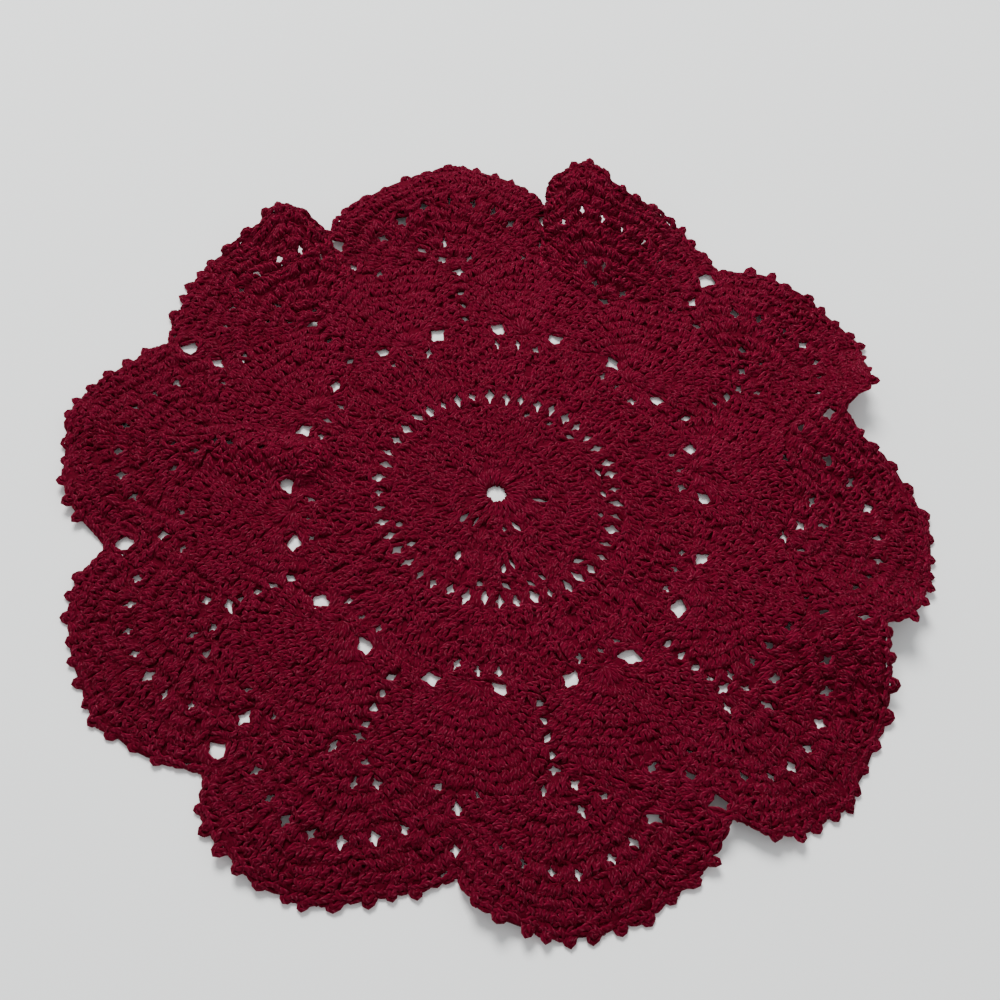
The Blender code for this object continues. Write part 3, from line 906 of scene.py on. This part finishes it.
def grown(corners):
    """A gap's outline made larger by HOLE_GROWTH on every side."""
    centre = corners.mean(axis=0)
    far = np.linalg.norm(corners[0] - corners[2]) / 2
    side = np.linalg.norm(corners[1] - corners[3]) / 2
    inner = far * side / math.hypot(far, side)
    return centre + (corners - centre) * (1 + HOLE_GROWTH / inner)


def ground_faces(holes):
    """The ground's points in the pattern and its triangles, holes left open."""
    edge = ground_edge()
    most = int(2 * NOTCH_RADIUS / GROUND_GRID)
    across, up = np.meshgrid(np.arange(-most, most + 1), np.arange(-most, most + 1))
    grid = [(across + 0.5 * (up % 2)) * GROUND_GRID, up * GROUND_GRID * math.sqrt(3) / 2]
    grid = np.stack(grid, -1).reshape(-1, 2)
    grid = grid[inside(grid, edge)]
    fixed = np.concatenate([edge] + holes)
    near = np.array([np.hypot(*(fixed - point).T).min() for point in grid])
    grid = grid[near > GROUND_CLEAR]
    for hole in holes:
        grid = grid[~inside(grid, hole)]
    edges, first = [], 0
    for loop in [edge] + holes:
        ring = list(range(first, first + len(loop)))
        edges += list(zip(ring, ring[1:] + ring[:1]))
        first += len(loop)
    points = [Vector(point) for point in np.concatenate([fixed, grid])]
    verts, _, faces, _, _, _ = delaunay_2d_cdt(points, edges, [], 0, JOIN_WITHIN)
    flat = as_array(verts)
    faces = np.array(faces)
    middles = flat[faces].mean(axis=1)
    kept = inside(middles, edge)
    for hole in holes:
        kept &= ~inside(middles, hole)
    return flat, faces[kept]


def ground_piece(name, outlines, material):
    """The thin close-worked cloth under the stitches, with the gaps cut out."""
    eye = [direction(360 * i / EYE_SIDES) * (EYE_RADIUS + HOLE_GROWTH) for i in range(EYE_SIDES)]
    flat, faces = ground_faces([as_array(eye)] + [grown(corners) for corners in outlines])
    count = len(flat)
    top, _ = laid(flat[:, 0], flat[:, 1], np.full(count, GROUND_TOP))
    under, _ = laid(flat[:, 0], flat[:, 1], np.full(count, GROUND_UNDER))
    directed = {(int(a), int(b)) for face in faces for a, b in zip(face, np.roll(face, -1))}
    sides = [(b, a, a + count, b + count) for a, b in sorted(directed) if (b, a) not in directed]
    mesh = bpy.data.meshes.new(name)
    polygons = faces.tolist() + (faces[:, ::-1] + count).tolist() + sides
    mesh.from_pydata(np.concatenate([top, under]).tolist(), [], polygons)
    mesh.update()
    mesh.shade_smooth()
    mesh.materials.append(material)
    return add_object(name, mesh)


# --- materials
PLIES = 2
PLY_TURNS = 6.6
# Painted shade in the grooves between the plies
GROOVE_SHADE = (0.045, 0.0002, 0.0045, 1)
MID = (0.060, 0.0004, 0.0062, 1)
LIGHT = (0.084, 0.0014, 0.0116, 1)
# Pale fibres together with a painted highlight on the ply crests
HAIR_AND_HIGHLIGHT = (0.25, 0.058, 0.09, 1)
# The ground's colours: partly the deeper yarn's own and partly painted shade between the stitches
GROUND_LIGHT = (0.092, 0.0008, 0.0100, 1)
GROUND_DARK = (0.056, 0.0004, 0.0062, 1)
TABLE_COLOURS = ((0.78, 0.785, 0.775, 1), (0.81, 0.815, 0.805, 1))

# The strand's own tone with its painted row shade, the clouds and the fibres add up to a level. Pairs are
# the two ends of a ramp
TONE_SHARE = 0.30
CLOUD_SHARE = 0.60
FIBRE_SHARE = 0.35
YARN_LEVELS = (0.38, 0.88)
GROOVE_LEVELS = (0.0, 0.6)
GROOVE_SHADE_SHARE = 0.7
HAIR_FIBRES = (0.50, 0.72)
HAIR_AND_HIGHLIGHT_PLIES = (0.35, 0.95)
HAIR_AND_HIGHLIGHT_SHARE = 0.36
KNOT_SCALE = 620.0
KNOT_SHARE = 0.7
KNOT_CLOUDS = 0.5
GROUND_LEVELS = (0.2, 0.9)
# How much lighter the painted bounce light makes a strand's lower sides
PAINTED_BOUNCE_GAIN = 3.8
TONE_MIDDLE = 0.97
# Painted light falloff: darker outwards, and lighter towards the far side than on the near side
PAINTED_FALLOFF_OUTWARDS = -0.15
PAINTED_LIGHT_BACKWARDS = 0.13
TONE_REACH = 190.0 * MM
EYE_SHADE = 0.07
EYE_SHADE_REACH = (0.030, 0.058)

Noise = namedtuple("Noise", "scale detail roughness", defaults=(0.5,))
FIBRES = Noise(3.2, 2.0, 0.6)
FIBRE_STRETCH = 2.2
YARN_CLOUDS = Noise(95.0, 2.0)
GROUND_CLOUDS = Noise(900.0, 3.0)
TABLE_CLOUDS = Noise(3.0, 2.0)

Bump = namedtuple("Bump", "strength distance_mm")
YARN_BUMP = Bump(0.7, 0.25)
FIBRE_BUMP = 0.5
GROUND_BUMP = Bump(0.8, 0.5)

COTTON_FINISH = {
    "Roughness": 0.85,
    "Specular IOR Level": 0.03,
    "Sheen Weight": 0.02,
    "Sheen Roughness": 0.4,
    "Sheen Tint": (1.0, 0.45, 0.55, 1),
}
TABLE_FINISH = {"Roughness": 0.8, "Specular IOR Level": 0.2}


class Nodes:
    """A new material's nodes. An input takes a number, a colour or another node's output."""

    def __init__(self, name):
        self.material = bpy.data.materials.new(name)
        self.material.use_nodes = True
        self.tree = self.material.node_tree
        self.shader = self.tree.nodes["Principled BSDF"]

    def fill(self, node, inputs):
        """Gives a node its inputs, by name or number."""
        for name, value in inputs.items():
            if isinstance(value, bpy.types.NodeSocket):
                self.tree.links.new(value, node.inputs[name])
            else:
                node.inputs[name].default_value = value

    def add(self, kind, inputs, **values):
        """A new node, with its inputs and with values for its properties."""
        node = self.tree.nodes.new("ShaderNode" + kind)
        for name, value in values.items():
            setattr(node, name, value)
        self.fill(node, inputs)
        return node

    def body(self):
        """Where a point of the surface is, in metres."""
        return self.add("TexCoord", {}).outputs["Object"]

    def attribute(self, name):
        """A number that the mesh holds for every point."""
        return self.add("Attribute", {}, attribute_name=name).outputs["Fac"]

    def math(self, operation, a, b=0.0):
        """The output of one arithmetic step."""
        return self.add("Math", {0: a, 1: b}, operation=operation).outputs[0]

    def total(self, *parts):
        """The sum of several values, each times its share."""
        terms = [self.math("MULTIPLY", value, share) for value, share in parts]
        total = terms[0]
        for term in terms[1:]:
            total = self.math("ADD", total, term)
        return total

    def mix(self, share, a, b):
        """A colour between two."""
        return self.add("Mix", {0: share, 6: a, 7: b}, data_type="RGBA").outputs[2]

    def scaled(self, colour, share):
        """A colour made lighter or darker by a share."""
        return self.add("VectorMath", {0: colour, "Scale": share}, operation="SCALE").outputs[0]

    def noise(self, vector, kind):
        """The output of a noise."""
        inputs = {"Vector": vector, "Scale": kind.scale, "Detail": kind.detail, "Roughness": kind.roughness}
        return self.add("TexNoise", inputs).outputs["Fac"]

    def ramp(self, value, low, high):
        """A value stretched so that low gives 0 and high gives 1."""
        return self.add("MapRange", {"Value": value, "From Min": low, "From Max": high}).outputs["Result"]

    def finished(self, colour, finish, height=None, kind=None):
        """The material, with a colour, a finish and the bump from a height."""
        self.fill(self.shader, {"Base Color": colour, **finish})
        if kind:
            inputs = {"Height": height, "Strength": kind.strength, "Distance": kind.distance_mm * MM}
            self.fill(self.shader, {"Normal": self.add("Bump", inputs).outputs["Normal"]})
        return self.material


def tone_and_painted_falloff(nodes, body):
    """How light the cotton is: a little darker in the middle, with a painted light falloff that darkens it
    outwards into the petals and on the near side.
    """
    back = nodes.add("SeparateXYZ", {"Vector": body}).outputs["Y"]
    radius = nodes.add("VectorMath", {0: body}, operation="LENGTH").outputs["Value"]
    slopes = [slope * TONE_MIDDLE / TONE_REACH for slope in (PAINTED_FALLOFF_OUTWARDS, PAINTED_LIGHT_BACKWARDS)]
    away = nodes.math("MULTIPLY", nodes.ramp(radius, *EYE_SHADE_REACH), EYE_SHADE)
    away = nodes.math("ADD", away, TONE_MIDDLE - EYE_SHADE)
    return nodes.math("ADD", nodes.total((radius, slopes[0]), (back, slopes[1])), away)


def yarn_cotton():
    """Twisted crimson cotton: two plies with fine fibres, from the strands' own map, with painted shade in
    the ply grooves, pale fibres with painted highlights on the ply crests, painted bounce light on the
    strands' lower sides and a painted light falloff.
    """
    nodes = Nodes("crimson_yarn")
    body = nodes.body()
    place = nodes.add("UVMap", {}, uv_map="Yarn").outputs["UV"]
    along, around, _ = nodes.add("SeparateXYZ", {"Vector": place}).outputs
    turn = nodes.total((around, float(PLIES)), (along, PLY_TURNS))
    ply = nodes.math("SINE", nodes.math("MULTIPLY", turn, 2 * math.pi))
    ply = nodes.ramp(ply, -1.0, 1.0)
    place = nodes.add("CombineXYZ", {"X": turn, "Y": nodes.math("MULTIPLY", along, FIBRE_STRETCH)})
    fibre = nodes.noise(place.outputs["Vector"], FIBRES)
    cloud = nodes.noise(body, YARN_CLOUDS)
    level = nodes.total((nodes.attribute("tone"), TONE_SHARE), (cloud, CLOUD_SHARE), (fibre, FIBRE_SHARE))
    colour = nodes.mix(nodes.ramp(level, *YARN_LEVELS), MID, LIGHT)
    # Painted shade: the ply grooves are painted darker
    groove_shade = nodes.math("SUBTRACT", 1.0, nodes.ramp(ply, *GROOVE_LEVELS))
    colour = nodes.mix(nodes.math("MULTIPLY", groove_shade, GROOVE_SHADE_SHARE), colour, GROOVE_SHADE)
    # Pale fibre streaks, painted only on the ply crests as painted highlights
    hair_and_highlight = nodes.math("MULTIPLY", nodes.ramp(fibre, *HAIR_FIBRES), nodes.ramp(ply, *HAIR_AND_HIGHLIGHT_PLIES))
    colour = nodes.mix(nodes.math("MULTIPLY", hair_and_highlight, HAIR_AND_HIGHLIGHT_SHARE), colour, HAIR_AND_HIGHLIGHT)
    # Painted bounce light: the strands' lower sides are painted lighter, standing for light that reaches the
    # shade between them
    painted_bounce_light = nodes.math("ADD", nodes.math("MULTIPLY", nodes.attribute("painted_bounce_light"), PAINTED_BOUNCE_GAIN), 1.0)
    # The painted light falloff scales the colour too
    colour = nodes.scaled(colour, nodes.math("MULTIPLY", painted_bounce_light, tone_and_painted_falloff(nodes, body)))
    height = nodes.math("ADD", ply, nodes.math("MULTIPLY", fibre, FIBRE_BUMP))
    return nodes.finished(colour, COTTON_FINISH, height, YARN_BUMP)


def ground_cotton():
    """The crimson yarn deep between the stitches, coloured partly as its own and partly as painted shade,
    with painted shade in the low edges of its knots.
    """
    nodes = Nodes("crimson_ground")
    body = nodes.body()
    knots = nodes.add("TexVoronoi", {"Vector": body, "Scale": KNOT_SCALE}).outputs["Distance"]
    level = nodes.total((knots, KNOT_SHARE), (nodes.noise(body, GROUND_CLOUDS), KNOT_CLOUDS))
    # Painted shade: the low edges between the knots are painted darker
    colour = nodes.mix(nodes.ramp(level, *GROUND_LEVELS), GROUND_LIGHT, GROUND_DARK)
    # Painted light falloff, as on the strands
    colour = nodes.scaled(colour, tone_and_painted_falloff(nodes, body))
    return nodes.finished(colour, COTTON_FINISH, nodes.math("SUBTRACT", 1.0, level), GROUND_BUMP)


def table_top():
    """A pale matt table top."""
    nodes = Nodes("pale_floor")
    colour = nodes.mix(nodes.noise(nodes.body(), TABLE_CLOUDS), *TABLE_COLOURS)
    return nodes.finished(colour, TABLE_FINISH)


# --- the stage
def add_floor():
    """The floor under the doily."""
    half = FLOOR_SIZE / 2
    mesh = bpy.data.meshes.new("floor")
    corners = [(-half, -half, 0), (half, -half, 0), (half, half, 0), (-half, half, 0)]
    mesh.from_pydata(corners, [], [(0, 1, 2, 3)])
    mesh.materials.append(table_top())
    floor = add_object("floor", mesh)


def add_lights():
    """A large soft light from above and the far left, and pale light all round."""
    window = bpy.data.lights.new("window", "AREA")
    window.shape = "DISK"
    window.size = WINDOW_SIZE
    window.energy = WINDOW_POWER
    lamp = add_object("window", window)
    lamp.location = WINDOW_AT
    lamp.rotation_euler = (-Vector(WINDOW_AT)).to_track_quat("-Z", "Y").to_euler()
    world = bpy.data.worlds.new("room")
    world.use_nodes = True
    background = world.node_tree.nodes["Background"]
    background.inputs["Color"].default_value = ROOM_COLOUR
    background.inputs["Strength"].default_value = ROOM_STRENGTH
    bpy.context.scene.world = world


def add_camera():
    """The camera, above the near side and a little turned."""
    tilt = math.radians(CAMERA_ELEVATION)
    roll = math.radians(CAMERA_ROLL)
    back = Vector((0, -math.cos(tilt), math.sin(tilt)))
    right = Vector((1, 0, 0))
    up = back.cross(right)
    turned_right = right * math.cos(roll) + up * math.sin(roll)
    turned_up = up * math.cos(roll) - right * math.sin(roll)
    camera = add_object("camera", bpy.data.cameras.new("camera"))
    camera.data.lens = CAMERA_LENS
    spot = Vector(CAMERA_TARGET) + back * CAMERA_DISTANCE
    axes = Matrix((turned_right, turned_up, back)).transposed()
    camera.matrix_world = Matrix.Translation(spot) @ axes.to_4x4()
    bpy.context.scene.camera = camera


# --- putting it together
Lot = namedtuple("Lot", "name family rows copies")
LOTS = (
    Lot("yarn_middle", EYE, EYE_ROWS, range(0, 1)),
    Lot("yarn_fans_a", HUB, HUB_ROWS, range(0, 5)),
    Lot("yarn_fans_b", HUB, HUB_ROWS, range(5, 10)),
    Lot("yarn_petals_a", FOCUS, FOCUS_ROWS, range(0, 3)),
    Lot("yarn_petals_b", FOCUS, FOCUS_ROWS, range(3, 6)),
    Lot("yarn_petals_c", FOCUS, FOCUS_ROWS, range(6, 10)),
)


def make_doily():
    """Every piece of the doily, ridden on the root body; the imported solid is hidden."""
    wide = gaps()
    openings = wide + slits()
    cotton = yarn_cotton()
    pieces = []
    for lot in LOTS:
        chance = np.random.default_rng([WORK_SEED, len(pieces)])
        yarn = unevened(worked(lot.family, lot.rows, lot.copies, FRONT), chance)
        pieces.append(yarn_piece(lot.name, pushed_aside(yarn, openings), cotton, chance))
    chance = np.random.default_rng([WORK_SEED, len(pieces)])
    knobs = rounded(unevened(picots(), chance), PICOT_RINGS)
    pieces.append(yarn_piece("yarn_picots", knobs, cotton, chance))
    pieces.append(yarn_piece("yarn_rims", rims(wide, chance), cotton, chance))
    backs = unevened(joined(worked(lot.family, lot.rows, lot.copies, BACK) for lot in LOTS), chance)
    pieces.append(yarn_piece("yarn_back", pushed_aside(backs, openings), cotton, chance, BACK_SIDES))
    ground = ground_piece("ground", openings, ground_cotton())
    for piece in pieces + [ground]:
        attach(piece, "root")
    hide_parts("doily")


add_camera()
add_floor()
add_lights()
make_doily()
